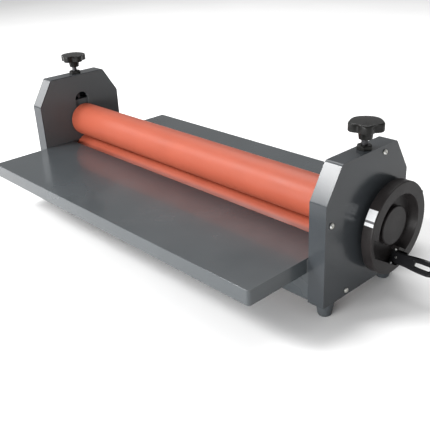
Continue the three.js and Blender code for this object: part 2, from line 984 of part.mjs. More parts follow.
// One side of the handle's outline, from a given start to the tip, at a distance inside its edge.
function handleSide(inset, start) {
  const rootHalf = handleRootWidth / 2 - inset;
  const loopHalf = handleLoopWidth / 2 - inset;
  const shoulder = handleLength - inset - loopHalf;
  const points = [];
  const steps = 5;
  for (let i = 0; i <= steps; i++) {
    const x = start + ((shoulder - start) * i) / steps;
    const grown = THREE.MathUtils.smoothstep(x, handleGrowStart, handleGrowEnd);
    points.push([x, rootHalf + (loopHalf - rootHalf) * grown]);
  }
  for (let i = 1; i <= steps; i++) {
    const a = (Math.PI / 2) * (1 - i / steps);
    points.push([shoulder + loopHalf * Math.cos(a), loopHalf * Math.sin(a)]);
  }
  return points;
}

const bothSides = (side) => [...side.map(([x, y]) => [x, -y]), ...side.slice(0, -1).reverse()];

// The folding handle stands straight out from the wheel and folds down into its pocket.
function crankHandle() {
  const outer = polygon(bothSides(handleSide(handleEdge, 0)));
  const slot = bothSides(handleSide(handleBar - handleEdge, handleSolidLength));
  outer.holes.push(new THREE.Path(slot.map(([x, y]) => new THREE.Vector2(x, y))));
  const loop = new THREE.ExtrudeGeometry(outer, {
    depth: handleThickness - 2 * handleEdge,
    bevelEnabled: true,
    bevelThickness: handleEdge,
    bevelSize: handleEdge,
    bevelSegments: 1,
  })
    .translate(0, 0, handleEdge - handleThickness / 2)
    .rotateX(Math.PI / 2)
    .translate(handleHingeHeight, handleHingeOffset, -pocketMiddle);
  const barrel = uprightPin(
    handleBarrelRadius,
    -pocketMiddle - handleBarrelHalf,
    -pocketMiddle + handleBarrelHalf,
  );
  const bore = uprightPin(handlePinRadius + runningGap, -pocketBottom - 1, -pocketTop + 1);
  return cut(join(loop, barrel), bore);
}

const handlePin = () =>
  uprightPin(handlePinRadius, -pocketBottom - handlePinReach, -pocketTop + pinRib);

// ---------------------------------------------------------------- base and tables

// A C-shaped sheet panel between the side plates; "towards" is +1 where its flanges point to +Y.
function panel(faceY, towards) {
  const low = footHeight + panelRaise;
  const high = tableTop - sheet - fitGap;
  const reach = towards * panelFlange;
  const wall = towards * sheet;
  const shape = polygon(
    [
      [faceY, low],
      [faceY + reach, low],
      [faceY + reach, low + sheet],
      [faceY + wall, low + sheet],
      [faceY + wall, high - sheet],
      [faceY + reach, high - sheet],
      [faceY + reach, high],
      [faceY, high],
    ],
  );
  return extrudeX(shape, -halfBed + fitGap, halfBed - fitGap);
}

// A round bar with a thread on each end that passes through the side plate.
function tieRod(y) {
  const body = halfBed - fitGap;
  const end = halfBed + plateThickness + tieThreadReach;
  const r = tieThread / 2;
  return turnedX(
    [
      [0, -end],
      [r, -end],
      [r, -body],
      [tieDiameter / 2, -body],
      [tieDiameter / 2, body],
      [r, body],
      [r, end],
      [0, end],
    ],
    y,
    footHeight + tieHeight,
    smallSegments,
  );
}

function tieNut(y) {
  const z = footHeight + tieHeight;
  const start = halfBed + behindPlate;
  const end = start + tieNutHeight;
  const thread = plug(tieThread / 2 + runningGap, start - 1, end + 1);
  const body = extrudeX(regular(6, tieNutRadius, y, z), start, end);
  return cut(body, turnedX(thread, y, z, smallSegments));
}

function roundedCorners(x, y0, y1, radius, cornersAt) {
  const shape = new THREE.Shape();
  const atLow = cornersAt === "low" ? radius : 0;
  const atHigh = cornersAt === "high" ? radius : 0;
  shape.moveTo(-x + atLow, y0);
  shape.lineTo(x - atLow, y0);
  if (atLow) shape.absarc(x - atLow, y0 + atLow, atLow, -Math.PI / 2, 0, false);
  shape.lineTo(x, y1 - atHigh);
  if (atHigh) shape.absarc(x - atHigh, y1 - atHigh, atHigh, 0, Math.PI / 2, false);
  shape.lineTo(-x + atHigh, y1);
  if (atHigh) shape.absarc(-x + atHigh, y1 - atHigh, atHigh, Math.PI / 2, Math.PI, false);
  shape.lineTo(-x, y0 + atLow);
  if (atLow) shape.absarc(-x + atLow, y0 + atLow, atLow, Math.PI, 1.5 * Math.PI, false);
  return shape;
}

const slab = (shape, z0, z1) =>
  new THREE.ExtrudeGeometry(shape, {
    depth: z1 - z0,
    bevelEnabled: false,
    curveSegments: 5,
  }).translate(0, 0, z0);

// A sheet table: outside the housings it is a tray with a lip and side flanges turned down,
// and a plain tongue reaches in between the housings towards the rollers.
function table(sideGap, lipY, housingY, tongueY) {
  const half = halfBed - sideGap;
  const outwards = Math.sign(lipY - housingY);
  const low = tableTop - lipHeight;
  const flangeEnd = housingY + outwards * 0.6;
  const [y0, y1] = outwards < 0 ? [lipY, flangeEnd] : [flangeEnd, lipY];
  const [inner0, inner1] =
    outwards < 0 ? [lipY + sheet, flangeEnd + 1] : [flangeEnd - 1, lipY - sheet];
  const cornersAt = outwards < 0 ? "low" : "high";
  const tray = cut(
    slab(roundedCorners(half, y0, y1, tableCorner, cornersAt), low, tableTop),
    slab(
      roundedCorners(half - sheet, inner0, inner1, tableCorner - sheet, cornersAt),
      low - 1,
      tableTop - sheet,
    ),
  );
  const [t0, t1] = outwards < 0 ? [flangeEnd - 2, tongueY] : [tongueY, flangeEnd + 2];
  return join(tray, box(-half, half, t0, t1, tableTop - sheet, tableTop));
}

// ---------------------------------------------------------------- assembly

const machine = new THREE.Group();

function addSide(side) {
  const group = new THREE.Group();
  const isRight = side === "right";
  if (!isRight) group.scale.x = -1;
  const add = (name, geometry, finish) => group.add(part(`${name}_${side}`, geometry, finish));
  add("side_plate", sidePlate(), darkPaint);
  add("side_cover", sideCover(isRight), darkPaint);
  coverScrewPlaces.forEach((place, i) => {
    group.add(part(`cover_screw_${side}_${i + 1}`, coverScrew(place), zinc));
  });
  add("foot_front", foot(footInset), rubber);
  add("foot_rear", foot(housingDepth - footInset), rubber);
  add("lower_bearing", lowerBearing(), bronze);
  add("bearing_block", bearingBlock(), blackSteel);
  add("upper_bush", upperBush(), bronze);
  add("lift_spring", liftSpring(), springSteel);
  add("pressure_screw", pressureScrew(), blackSteel);
  add("screw_nut", screwNut(), steel);
  add("screw_collar", screwCollar(), blackPlastic);
  add("star_knob", knob(isRight ? rightKnobAngle : Math.PI - leftKnobAngle), blackPlastic);
  add("tie_nut_front", tieNut(axisY - tieSpread), zinc);
  add("tie_nut_rear", tieNut(axisY + tieSpread), zinc);
  machine.add(group);
}

addSide("left");
addSide("right");

machine.add(
  part("front_panel", panel(panelInset, 1), greyPaint),
  part("rear_panel", panel(housingDepth - panelInset, -1), greyPaint),
  part("tie_rod_front", tieRod(axisY - tieSpread), steel),
  part("tie_rod_rear", tieRod(axisY + tieSpread), steel),
  part("front_table", table(tableSideGap, -frontReach, 0, frontTableEnd), greyPaint),
  part(
    "rear_table",
    table(rearSideGap, housingDepth + rearReach, housingDepth, rearTableStart),
    greyPaint,
  ),
);

const journalReach = behindPlate + bearingDepth + 0.4;
const upperReach = behindPlate + blockDepth + 0.4;
machine.add(
  part("lower_roller_core", rollerCore(lowerZ, journalReach, gearEnd + 0.6), steel),
  part("lower_roller_sleeve", rollerSleeve(lowerZ), silicone),
  part("upper_roller_core", rollerCore(upperZ, upperReach, upperReach), steel),
  part("upper_roller_sleeve", rollerSleeve(upperZ), silicone),
);

machine.add(
  part("drive_gear", driveGear(), steel),
  part("drive_pinion", drivePinion(), steel),
  part("wheel_shaft", wheelShaft(), steel),
  part(
    "shaft_bush_inner",
    shaftBush(
      faceRecess,
      behindPlate + innerBushDepth,
      behindPlate,
      behindPlate + shaftBushFlangeDepth,
    ),
    bronze,
  ),
  part(
    "shaft_bush_outer",
    shaftBush(interiorDepth - coverWall, outerBushEnd, housingWidth + fitGap, outerBushEnd),
    bronze,
  ),
);

const wheel = new THREE.Group();
wheel.position.set(wheelBack, shaftY, shaftZ);
wheel.rotation.x = -wheelTurn;
wheel.add(
  part("hand_wheel", handWheel(), blackPlastic),
  part("hub_screw", hubScrew(), zinc),
  part("hub_cap", hubCap(), blackPlastic),
  part("crank_handle", crankHandle(), blackPlastic),
  part("handle_pin", handlePin(), zinc),
);
machine.add(wheel);

// Put the origin on the floor, below the middle of the machine's box.
const extent = new THREE.Box3().setFromObject(machine, true);
const middle = extent.getCenter(new THREE.Vector3());
machine.position.set(-middle.x, -middle.y, -extent.min.z);

const laminator = new THREE.Group();
laminator.add(machine);

export default laminator;
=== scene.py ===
"""Looks for a tabletop cold roll laminator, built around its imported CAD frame."""

import json
import math

import bmesh
import bpy
from mathutils import Matrix, Vector


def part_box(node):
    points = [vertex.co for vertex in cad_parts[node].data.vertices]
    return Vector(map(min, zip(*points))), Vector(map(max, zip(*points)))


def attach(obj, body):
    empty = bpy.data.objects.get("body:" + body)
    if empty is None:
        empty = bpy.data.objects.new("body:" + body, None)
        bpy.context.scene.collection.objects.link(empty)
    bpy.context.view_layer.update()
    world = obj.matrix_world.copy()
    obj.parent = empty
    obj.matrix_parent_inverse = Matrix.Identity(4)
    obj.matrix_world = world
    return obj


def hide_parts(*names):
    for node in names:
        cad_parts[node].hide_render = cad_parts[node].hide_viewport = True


MM = 0.001

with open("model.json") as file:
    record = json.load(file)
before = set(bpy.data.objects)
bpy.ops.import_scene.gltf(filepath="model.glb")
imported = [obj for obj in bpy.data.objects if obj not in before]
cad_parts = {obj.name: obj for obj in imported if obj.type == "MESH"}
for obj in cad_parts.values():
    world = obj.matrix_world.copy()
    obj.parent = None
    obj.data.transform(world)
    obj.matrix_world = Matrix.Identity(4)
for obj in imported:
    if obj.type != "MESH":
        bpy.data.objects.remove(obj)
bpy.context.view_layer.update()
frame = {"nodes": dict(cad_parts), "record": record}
nodes = frame["nodes"]

# ---------------------------------------------------------------- camera

# The camera stands in front of the right housing and looks back along the rollers.
CAMERA_PLACE = Vector((0.7838, -0.6955, 0.5267))
CAMERA_FORWARD = Vector((-0.6692, 0.6062, -0.4298))
CAMERA_RIGHT = Vector((0.6862, 0.7261, -0.0443))
CAMERA_LENS_MM = 55.58
SENSOR_MM = 36.0


def add_camera():
    data = bpy.data.cameras.new("camera")
    data.lens = CAMERA_LENS_MM
    data.sensor_width = SENSOR_MM
    camera = bpy.data.objects.new("camera", data)
    bpy.context.scene.collection.objects.link(camera)
    back = -CAMERA_FORWARD.normalized()
    right = (CAMERA_RIGHT - back * CAMERA_RIGHT.dot(back)).normalized()
    up = back.cross(right)
    turned = Matrix((right, up, back)).transposed().to_4x4()
    camera.matrix_world = Matrix.Translation(CAMERA_PLACE) @ turned
    bpy.context.scene.camera = camera


add_camera()

# ---------------------------------------------------------------- materials


class Finish:
    """One material's node tree, with a few short calls for the nodes it needs."""

    def __init__(self, name):
        self.material = bpy.data.materials.new(name)
        self.material.use_nodes = True
        self.tree = self.material.node_tree
        self.shader = self.tree.nodes["Principled BSDF"]
        self.place = self.node("ShaderNodeTexCoord").outputs["Object"]

    def node(self, kind, **settings):
        made = self.tree.nodes.new(kind)
        for key, value in settings.items():
            setattr(made, key, value)
        return made

    def link(self, source, target):
        self.tree.links.new(source, target)

    def set(self, **values):
        for name, value in values.items():
            self.shader.inputs[name.replace("_", " ")].default_value = value

    def stretched(self, scale):
        mapping = self.node("ShaderNodeMapping")
        mapping.inputs["Scale"].default_value = scale
        self.link(self.place, mapping.inputs["Vector"])
        return mapping.outputs["Vector"]

    def noise(self, scale, detail=2.0, rough=0.5, place=None):
        made = self.node("ShaderNodeTexNoise")
        made.inputs["Scale"].default_value = scale
        made.inputs["Detail"].default_value = detail
        made.inputs["Roughness"].default_value = rough
        self.link(place or self.place, made.inputs["Vector"])
        return made.outputs["Fac"]

    def ranged(self, value, low, high, start=0.3, end=0.7):
        made = self.node("ShaderNodeMapRange")
        made.inputs["From Min"].default_value = start
        made.inputs["From Max"].default_value = end
        made.inputs["To Min"].default_value = low
        made.inputs["To Max"].default_value = high
        self.link(value, made.inputs["Value"])
        return made.outputs["Result"]

    def blend(self, factor, first, second):
        made = self.node("ShaderNodeMix", data_type="RGBA")
        for socket, value in ((made.inputs[6], first), (made.inputs[7], second)):
            if hasattr(value, "is_linked"):
                self.link(value, socket)
            else:
                socket.default_value = (*value, 1.0)
        self.link(factor, made.inputs[0])
        return made.outputs[2]

    def colour(self, value):
        self.link(value, self.shader.inputs["Base Color"])

    def rough(self, value):
        self.link(value, self.shader.inputs["Roughness"])

    def bump(self, height, depth, strength):
        made = self.node("ShaderNodeBump")
        made.inputs["Strength"].default_value = strength
        made.inputs["Distance"].default_value = depth
        self.link(height, made.inputs["Height"])
        self.link(made.outputs["Normal"], self.shader.inputs["Normal"])


def shade(colour, factor):
    return tuple(min(1.0, channel * factor) for channel in colour)


def powder_coat(name, colour, roughness, coat, gloss=0.5):
    """Glossy baked paint on sheet metal: faint orange peel, with a fine tint in the pigment."""
    finish = Finish(name)
    peel = finish.noise(40.0, 1.0)
    cloud = finish.noise(9.0, 3.0)
    grain = finish.noise(2600.0, 1.0)
    tint = finish.blend(finish.ranged(cloud, 0.0, 1.0), shade(colour, 0.9), shade(colour, 1.1))
    finish.colour(finish.blend(finish.ranged(grain, 0.0, 0.35), tint, shade(colour, 1.25)))
    finish.rough(finish.ranged(cloud, roughness - 0.03, roughness + 0.04))
    finish.bump(peel, 0.00004, 0.2)
    finish.set(Coat_Weight=coat, Coat_Roughness=0.1, Specular_IOR_Level=gloss)
    return finish.material


def ground_silicone(name, colour):
    """Silicone rubber ground round: fine lines around the roller and a soft, dusty bloom."""
    finish = Finish(name)
    lines = finish.noise(1.0, 3.0, 0.6, finish.stretched((1900.0, 26.0, 26.0)))
    bloom = finish.noise(14.0, 4.0)
    tone = finish.blend(finish.ranged(bloom, 0.0, 1.0), shade(colour, 0.93), shade(colour, 1.05))
    finish.colour(finish.blend(finish.ranged(lines, 0.0, 0.3), tone, shade(colour, 0.85)))
    finish.rough(finish.ranged(bloom, 0.42, 0.54))
    finish.bump(lines, 0.00003, 0.3)
    finish.set(Subsurface_Weight=0.08, Subsurface_Scale=0.003, Specular_IOR_Level=0.3)
    finish.shader.inputs["Subsurface Radius"].default_value = (1.0, 0.4, 0.25)
    return finish.material


def moulded_plastic(name, colour, roughness, texture=0.00002):
    """Injection-moulded plastic: a fine spark-eroded texture with slightly uneven gloss."""
    finish = Finish(name)
    grain = finish.noise(2200.0, 2.0)
    sink = finish.noise(35.0, 2.0)
    finish.colour(
        finish.blend(finish.ranged(sink, 0.0, 1.0), shade(colour, 0.88), shade(colour, 1.12))
    )
    finish.rough(finish.ranged(sink, roughness - 0.05, roughness + 0.06))
    finish.bump(grain, texture, 0.4)
    finish.set(Specular_IOR_Level=0.18)
    return finish.material


def turned_metal(name, colour, roughness, scale):
    """Turned or drawn metal: tool marks across the given axes and light tarnish."""
    finish = Finish(name)
    marks = finish.noise(1.0, 3.0, 0.6, finish.stretched(scale))
    tarnish = finish.noise(60.0, 4.0)
    finish.colour(
        finish.blend(finish.ranged(tarnish, 0.0, 1.0), shade(colour, 0.82), shade(colour, 1.05))
    )
    finish.rough(finish.ranged(marks, roughness - 0.07, roughness + 0.1))
    finish.bump(marks, 0.00002, 0.3)
    finish.set(Metallic=1.0)
    return finish.material


def zinc_plate(name, colour):
    """Bright zinc plating, with its patchy blue and straw tints."""
    finish = Finish(name)
    patches = finish.noise(160.0, 3.0)
    pits = finish.noise(1500.0, 2.0)
    finish.colour(
        finish.blend(finish.ranged(patches, 0.0, 1.0), shade(colour, 0.86), (0.72, 0.7, 0.62))
    )
    finish.rough(finish.ranged(patches, 0.22, 0.34))
    finish.bump(pits, 0.00002, 0.3)
    finish.set(Metallic=1.0)
    return finish.material


LABEL_PAPER = (0.62, 0.63, 0.64)
LABEL_PAPER_LIGHT = (0.7, 0.71, 0.72)
LABEL_STRIPE = (0.1, 0.1, 0.105)
STRIPE_FROM = 0.2  # the stripe's lower and upper edge, as shares of the label's height
STRIPE_TO = 0.34


def printed_label(name):
    """White paper film with one thin dark stripe across it, and no print."""
    finish = Finish(name)
    fibre = finish.noise(900.0, 4.0)
    paper = finish.blend(finish.ranged(fibre, 0.0, 1.0), LABEL_PAPER, LABEL_PAPER_LIGHT)
    split = finish.node("ShaderNodeSeparateXYZ")
    finish.link(finish.node("ShaderNodeUVMap").outputs["UV"], split.inputs["Vector"])
    across = split.outputs["Y"]
    above = finish.node("ShaderNodeMath", operation="GREATER_THAN")
    below = finish.node("ShaderNodeMath", operation="LESS_THAN")
    inside = finish.node("ShaderNodeMath", operation="MULTIPLY")
    above.inputs[1].default_value = STRIPE_FROM
    below.inputs[1].default_value = STRIPE_TO
    finish.link(across, above.inputs[0])
    finish.link(across, below.inputs[0])
    finish.link(above.outputs[0], inside.inputs[0])
    finish.link(below.outputs[0], inside.inputs[1])
    finish.colour(finish.blend(inside.outputs[0], paper, LABEL_STRIPE))
    finish.rough(finish.ranged(fibre, 0.38, 0.5))
    finish.bump(fibre, 0.00001, 0.2)
    return finish.material


def rubber(name, colour):
    """Moulded rubber: matt, a little dusty, with a coarse grain."""
    finish = Finish(name)
    dust = finish.noise(120.0, 4.0)
    grain = finish.noise(1400.0, 2.0)
    finish.colour(
        finish.blend(finish.ranged(dust, 0.0, 1.0), shade(colour, 0.85), shade(colour, 1.2))
    )
    finish.rough(finish.ranged(dust, 0.6, 0.78))
    finish.bump(grain, 0.00004, 0.4)
    return finish.material


MATERIALS = {
    "dark_paint": powder_coat("dark_powder_coat", (0.034, 0.038, 0.042), 0.2, 0.0, 0.32),
    "grey_paint": powder_coat("grey_powder_coat", (0.042, 0.048, 0.052), 0.24, 0.3, 0.35),
    "silicone": ground_silicone("salmon_silicone", (0.31, 0.066, 0.035)),
    "steel": turned_metal("bright_steel", (0.56, 0.57, 0.58), 0.28, (1500.0, 60.0, 60.0)),
    "black_steel": turned_metal("black_oxide", (0.05, 0.05, 0.053), 0.3, (60.0, 60.0, 1500.0)),
    "zinc": zinc_plate("zinc_plate", (0.66, 0.68, 0.7)),
    "bronze": turned_metal("sintered_bronze", (0.5, 0.32, 0.16), 0.45, (200.0, 200.0, 200.0)),
    "spring_steel": turned_metal("spring_steel", (0.3, 0.31, 0.33), 0.35, (60.0, 60.0, 1500.0)),
    "knob_plastic": moulded_plastic("knob_plastic", (0.009, 0.009, 0.0085), 0.3),
    "wheel_plastic": moulded_plastic("wheel_plastic", (0.017, 0.015, 0.015), 0.42, 0.00003),
    "foot_rubber": rubber("foot_rubber", (0.035, 0.041, 0.046)),
}
PLATE_PAINT = powder_coat("plate_powder_coat", (0.06, 0.064, 0.067), 0.5, 0.0)
HANDLE_PLASTIC = moulded_plastic("handle_plastic", (0.01, 0.01, 0.011), 0.22)
OWN_FINISH = {
    "side_plate_left": PLATE_PAINT,
    "side_plate_right": PLATE_PAINT,
    "bearing_block_left": PLATE_PAINT,
    "bearing_block_right": PLATE_PAINT,
    "crank_handle": HANDLE_PLASTIC,
}
LABEL = printed_label("blank_label")

# ---------------------------------------------------------------- smooth shading and bevels


BEVEL_SEGMENTS = 3
WELD_DISTANCE = 0.002 * MM
FLAT_ANGLE = 0.4  # degrees within which neighbouring triangles count as one flat face
SMOOTH_ANGLE = 35.0  # degrees up to which an edge is shaded smooth
ROUND_SMOOTH_ANGLE = 40.0  # the same for the sleeves and knobs, with their small fillets
FLAT_FACE_WEIGHT = 80


def smoothing_group():
    """Geometry nodes that shade smooth across every edge shallower than the given angle."""
    group = bpy.data.node_groups.new("smooth_by_edge_angle", "GeometryNodeTree")
    for name, in_out, kind in (
        ("Mesh", "INPUT", "NodeSocketGeometry"),
        ("Angle", "INPUT", "NodeSocketFloat"),
        ("Mesh", "OUTPUT", "NodeSocketGeometry"),
    ):
        group.interface.new_socket(name=name, in_out=in_out, socket_type=kind)
    start = group.nodes.new("NodeGroupInput")
    end = group.nodes.new("NodeGroupOutput")
    faces = group.nodes.new("GeometryNodeSetShadeSmooth")
    edges = group.nodes.new("GeometryNodeSetShadeSmooth")
    edges.domain = "EDGE"
    angle = group.nodes.new("GeometryNodeInputMeshEdgeAngle")
    shallow = group.nodes.new("FunctionNodeCompare")
    shallow.operation = "LESS_EQUAL"
    group.links.new(start.outputs["Mesh"], faces.inputs["Geometry"])
    group.links.new(faces.outputs["Geometry"], edges.inputs["Geometry"])
    group.links.new(angle.outputs["Unsigned Angle"], shallow.inputs["A"])
    group.links.new(start.outputs["Angle"], shallow.inputs["B"])
    group.links.new(shallow.outputs["Result"], edges.inputs["Shade Smooth"])
    group.links.new(edges.outputs["Geometry"], end.inputs["Mesh"])
    return group


SMOOTHING = smoothing_group()


def smooth(obj, degrees):
    modifier = obj.modifiers.new("smooth_shading", "NODES")
    modifier.node_group = SMOOTHING
    angle = next(i for i in SMOOTHING.interface.items_tree if i.name == "Angle")
    modifier[angle.identifier] = math.radians(degrees)


def keep_flats(obj):
    """Lets the large flat faces set the shading of the rounded edges beside them."""
    modifier = obj.modifiers.new("flat_shading", "WEIGHTED_NORMAL")
    modifier.keep_sharp = True
    modifier.weight = FLAT_FACE_WEIGHT


def bevel(obj, width, degrees):
    modifier = obj.modifiers.new("edge_rounding", "BEVEL")
    modifier.width = width
    modifier.segments = BEVEL_SEGMENTS
    modifier.limit_method = "ANGLE"
    modifier.angle_limit = math.radians(degrees)
    modifier.use_clamp_overlap = True


def dress(obj, width, limit):
    """Joins a CAD node's loose triangles for shading, and rounds its edges by the given width.

    Only edges that turn by more than limit degrees are rounded. A width of 0 leaves them all sharp.
    """
    mesh = obj.data
    if "custom_normal" in mesh.attributes:
        mesh.attributes.remove(mesh.attributes["custom_normal"])
    for name in ("sharp_edge", "sharp_face"):
        if name in mesh.attributes:
            mesh.attributes.remove(mesh.attributes[name])
    weld = obj.modifiers.new("weld", "WELD")
    weld.merge_threshold = WELD_DISTANCE
    flat = obj.modifiers.new("flat_faces", "DECIMATE")
    flat.decimate_type = "DISSOLVE"
    flat.angle_limit = math.radians(FLAT_ANGLE)
    if width:
        bevel(obj, width, limit)
    smooth(obj, SMOOTH_ANGLE)
    if width:
        keep_flats(obj)


# How far each kind of piece has its edges rounded, and from which edge angle in degrees.
ROUNDING = {
    "side_cover": (0.7 * MM, 25.0),
    "side_plate": (0.4 * MM, 25.0),
    "front_table": (1.1 * MM, 25.0),
    "rear_table": (1.1 * MM, 25.0),
    "front_panel": (0.5 * MM, 25.0),
    "rear_panel": (0.5 * MM, 25.0),
    "bearing_block": (0.5 * MM, 30.0),
    "crank_handle": (1.0 * MM, 30.0),
    "hand_wheel": (0.5 * MM, 40.0),
    "hub_cap": (0.3 * MM, 30.0),
    "foot": (0.4 * MM, 30.0),
    "screw_collar": (0.3 * MM, 28.0),
}


NO_ROUNDING = (0.0, 30.0)
SLOT_OF_NODE = {part["node"]: part["material_slot"] for part in frame["record"]["subparts"]}


def node_material(name):
    return OWN_FINISH.get(name) or MATERIALS[SLOT_OF_NODE[name]]


for node_name, node in nodes.items():
    node.data.materials.clear()
    node.data.materials.append(node_material(node_name))
    width, limit = next(
        (value for start, value in ROUNDING.items() if node_name.startswith(start)), NO_ROUNDING
    )
    dress(node, width, limit)

# ---------------------------------------------------------------- mesh helpers


def new_object(name, mesh):
    made = bpy.data.objects.new(name, mesh)
    bpy.context.scene.collection.objects.link(made)
    return made


def new_piece(name, mesh, slot, body):
    piece = new_object(name, mesh)
    mesh.materials.append(MATERIALS[slot])
    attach(piece, body)
    return piece


def finished_mesh(name, builder):
    """Turns all faces outwards and hands the built shape over as a mesh."""
    bmesh.ops.recalc_face_normals(builder, faces=builder.faces)
    mesh = bpy.data.meshes.new(name)
    builder.to_mesh(mesh)
    builder.free()
    return mesh


def join_rings(builder, lower, upper):
    """Faces between two rings of points, either of which may be a single point."""
    steps = max(len(lower), len(upper))
    for i in range(steps):
        j = (i + 1) % steps
        corners = [
            lower[i % len(lower)],
            lower[j % len(lower)],
            upper[j % len(upper)],
            upper[i % len(upper)],
        ]
        face = list(dict.fromkeys(corners))
        if len(face) > 2:
            builder.faces.new(face)


def ring(builder, steps, height, radius_at):
    """One ring of points about the z axis, at the radius that radius_at gives for each angle."""
    points = []
    for i in range(steps):
        angle = math.tau * i / steps
        radius = radius_at(angle)
        points.append(builder.verts.new((radius * math.cos(angle), radius * math.sin(angle), height)))
    return points


def lathe_mesh(name, profile, steps, to_world, closed=False):
    """Turns (radius, height) points about the local z axis, then moves the result into place."""
    builder = bmesh.new()
    rings = []
    for radius, height in profile:
        if radius == 0.0:
            rings.append([builder.verts.new((0.0, 0.0, height))])
        else:
            rings.append(ring(builder, steps, height, lambda angle: radius))
    for lower, upper in zip(rings, rings[1:]):
        join_rings(builder, lower, upper)
    if closed:
        join_rings(builder, rings[-1], rings[0])
    builder.transform(to_world)
    mesh = finished_mesh(name, builder)
    mesh.shade_smooth()
    return mesh


def arc(centre, radius, start, end, steps):
    """Points (radius, height) of a fillet about its centre, from one angle in degrees to another."""
    angles = (math.radians(start + (end - start) * i / steps) for i in range(steps + 1))
    return [(centre[0] + radius * math.cos(a), centre[1] + radius * math.sin(a)) for a in angles]


# Turns the local z axis onto the rollers' axis, x.
ALONG_X = Matrix(((0, 0, 1, 0), (1, 0, 0, 0), (0, 1, 0, 0), (0, 0, 0, 1)))

# ---------------------------------------------------------------- roller sleeves

SLEEVE_ROUND = 2.2 * MM
SLEEVE_ROUND_STEPS = 6
SLEEVE_WALL = 8 * MM
SLEEVE_STEPS = 144


def roller_sleeve(side):
    """The rubber sleeve with its ground face and softly rounded ends."""
    low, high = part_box(f"{side}_roller_sleeve")
    centre = (low + high) / 2
    outer = (high.z - low.z) / 2
    inner = outer - SLEEVE_WALL
    half = (high.x - low.x) / 2
    fillet = outer - SLEEVE_ROUND
    profile = [
        (inner, -half),
        *arc((fillet, -half + SLEEVE_ROUND), SLEEVE_ROUND, -90, 0, SLEEVE_ROUND_STEPS),
        *arc((fillet, half - SLEEVE_ROUND), SLEEVE_ROUND, 0, 90, SLEEVE_ROUND_STEPS),
        (inner, half),
    ]
    to_world = Matrix.Translation(centre) @ ALONG_X
    mesh = lathe_mesh(f"{side}_sleeve", profile, SLEEVE_STEPS, to_world, closed=True)
    piece = new_piece(f"{side}_sleeve", mesh, "silicone", f"{side}_roller")
    smooth(piece, ROUND_SMOOTH_ANGLE)
    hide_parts(f"{side}_roller_sleeve")


for roller in ("upper", "lower"):
    roller_sleeve(roller)

# ---------------------------------------------------------------- cover screws

RECESS_SIDES = 6
RECESS_RADIUS = 0.48  # corner radius of the recess's floor, as a share of the head's radius
RECESS_MOUTH_RADIUS = 0.5
RECESS_DEPTH = 1.3 * MM
RECESS_MOUTH_DEPTH = 0.1 * MM
HEAD_STEPS = 36
HEAD_DEPTH = 2.0 * MM
HEAD_SKIRT = 0.28  # straight part of the head's side, as a share of its depth
HEAD_FLAT = 0.58  # radius of the dome's top, as a share of the head's radius
DOME_STEPS = 6
SHANK_RADIUS = 0.45  # as a share of the head's radius
SHANK_TIP_RADIUS = 0.001 * MM


def hexagon_radius(angle, radius):
    """Distance from the middle to the edge of a regular hexagon with that corner radius."""
    sector = math.tau / RECESS_SIDES
    within = (angle % sector) - sector / 2
    return radius * math.cos(sector / 2) / math.cos(within)


def head_profile(radius, length):
    """(radius, height) from the tip of the shank up to the top of the dome, at height 0."""
    dome = HEAD_DEPTH * (1 - HEAD_SKIRT)
    points = [
        (SHANK_TIP_RADIUS, -length),
        (radius * SHANK_RADIUS, -length),
        (radius * SHANK_RADIUS, -HEAD_DEPTH),
        (radius, -HEAD_DEPTH),
        (radius, -dome),
    ]
    for i in range(1, DOME_STEPS + 1):
        share = i / DOME_STEPS
        across = radius * (1 - (1 - HEAD_FLAT) * share)
        points.append((across, -dome * (1 - math.sin(share * math.pi / 2))))
    return points


def cover_screw(name):
    """A low domed screw head with a hexagon recess, on its own shank."""
    low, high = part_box(name)
    middle = (low + high) / 2
    outwards = 1.0 if middle.x > 0 else -1.0
    face = high.x if outwards > 0 else low.x
    radius = (high.y - low.y) / 2
    builder = bmesh.new()
    rings = [
        ring(builder, HEAD_STEPS, height, lambda angle: across)
        for across, height in head_profile(radius, high.x - low.x)
    ]
    for share, depth in (
        (RECESS_MOUTH_RADIUS, RECESS_MOUTH_DEPTH),
        (RECESS_RADIUS, RECESS_DEPTH),
    ):
        corner = radius * share
        rings.append(ring(builder, HEAD_STEPS, -depth, lambda angle: hexagon_radius(angle, corner)))
    for lower, upper in zip(rings, rings[1:]):
        join_rings(builder, lower, upper)
    builder.faces.new(rings[0])
    builder.faces.new(rings[-1])
    # The shank's local z axis points out of the housing, to either side.
    turn = Matrix(((0, 0, outwards, 0), (1, 0, 0, 0), (0, outwards, 0, 0), (0, 0, 0, 1)))
    builder.transform(Matrix.Translation((face, middle.y, middle.z)) @ turn)
    piece = new_piece(name + "_detailed", finished_mesh(name + "_detailed", builder), "zinc", "base")
    smooth(piece, SMOOTH_ANGLE)
    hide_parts(name)


for node_name in sorted(nodes):
    if node_name.startswith("cover_screw_"):
        cover_screw(node_name)

# ---------------------------------------------------------------- star knobs

KNOB_LOBES = 5
KNOB_STEPS = 150
KNOB_EDGE = 3.0 * MM
KNOB_EDGE_STEPS = 8
KNOB_UNDER_EDGE = 1.6 * MM
KNOB_UNDER_STEPS = 4
KNOB_UNDER_FLUTE = 0.9
KNOB_CROWN = 1.1 * MM
KNOB_CROWN_STEPS = 6
KNOB_FLUTE = 5.2 * MM
KNOB_FLUTE_FADE = 0.97  # share of the flutes' depth lost by the top of the rounded edge
KNOB_FLUTE_SHARPNESS = 1.3
KNOB_HUB_HEIGHT = 11.7 * MM
KNOB_HUB_RADIUS = 10.5 * MM
KNOB_HUB_TAPER = 1.5 * MM
KNOB_HUB_FLARE = 0.8 * MM
KNOB_HUB_FLUTE = 0.1


